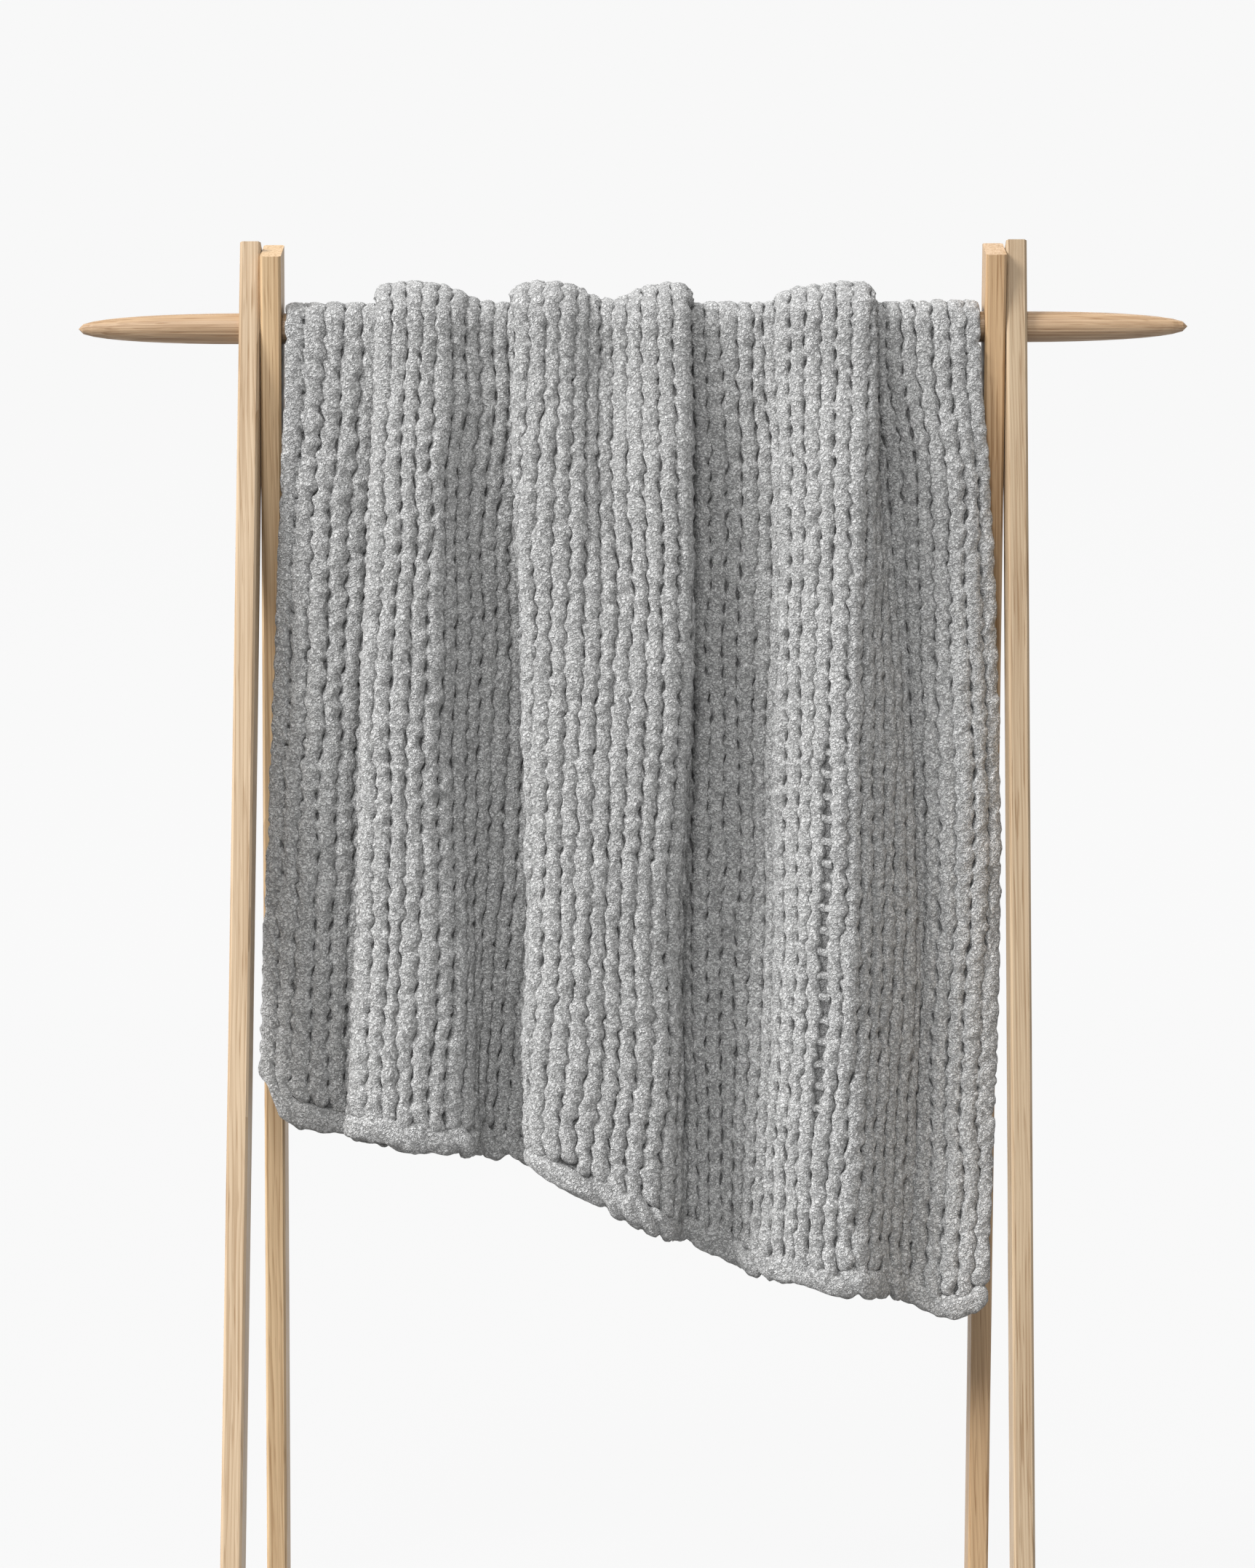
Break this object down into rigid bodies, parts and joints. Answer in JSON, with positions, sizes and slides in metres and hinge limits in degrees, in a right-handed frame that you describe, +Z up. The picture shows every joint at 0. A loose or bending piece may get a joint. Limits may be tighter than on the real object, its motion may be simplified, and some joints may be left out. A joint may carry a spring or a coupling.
{
  "type": "chunky knit blanket on a wooden drying rack",
  "caption": "Chunky knit blanket draped in deep pleats over the round rod of a free-standing oak rack with crossed legs.",
  "frame": {"origin": "on the floor, midway between the four feet", "axes": "+X along the rod to the right as seen from the front, -Y towards the viewer, where the long side of the blanket hangs, +Z up"},
  "size_m": [1.4, 0.4172, 1.7501],
  "materials": {
    "blanket": "light grey chunky chenille yarn, hand-knit in stockinette",
    "rod": "pale oak, satin, tapered to rounded tips",
    "leg_front_left": "pale oak board, fine straight grain, satin",
    "leg_front_right": "pale oak board, fine straight grain, satin",
    "leg_back_left": "pale oak board, fine straight grain, satin",
    "leg_back_right": "pale oak board, fine straight grain, satin"
  },
  "bodies": {
    "root": {"blanket": "blanket", "rod": "rod", "leg_front_left": "leg_front_left", "leg_front_right": "leg_front_right", "leg_back_left": "leg_back_left", "leg_back_right": "leg_back_right"}
  },
  "joints": []
}
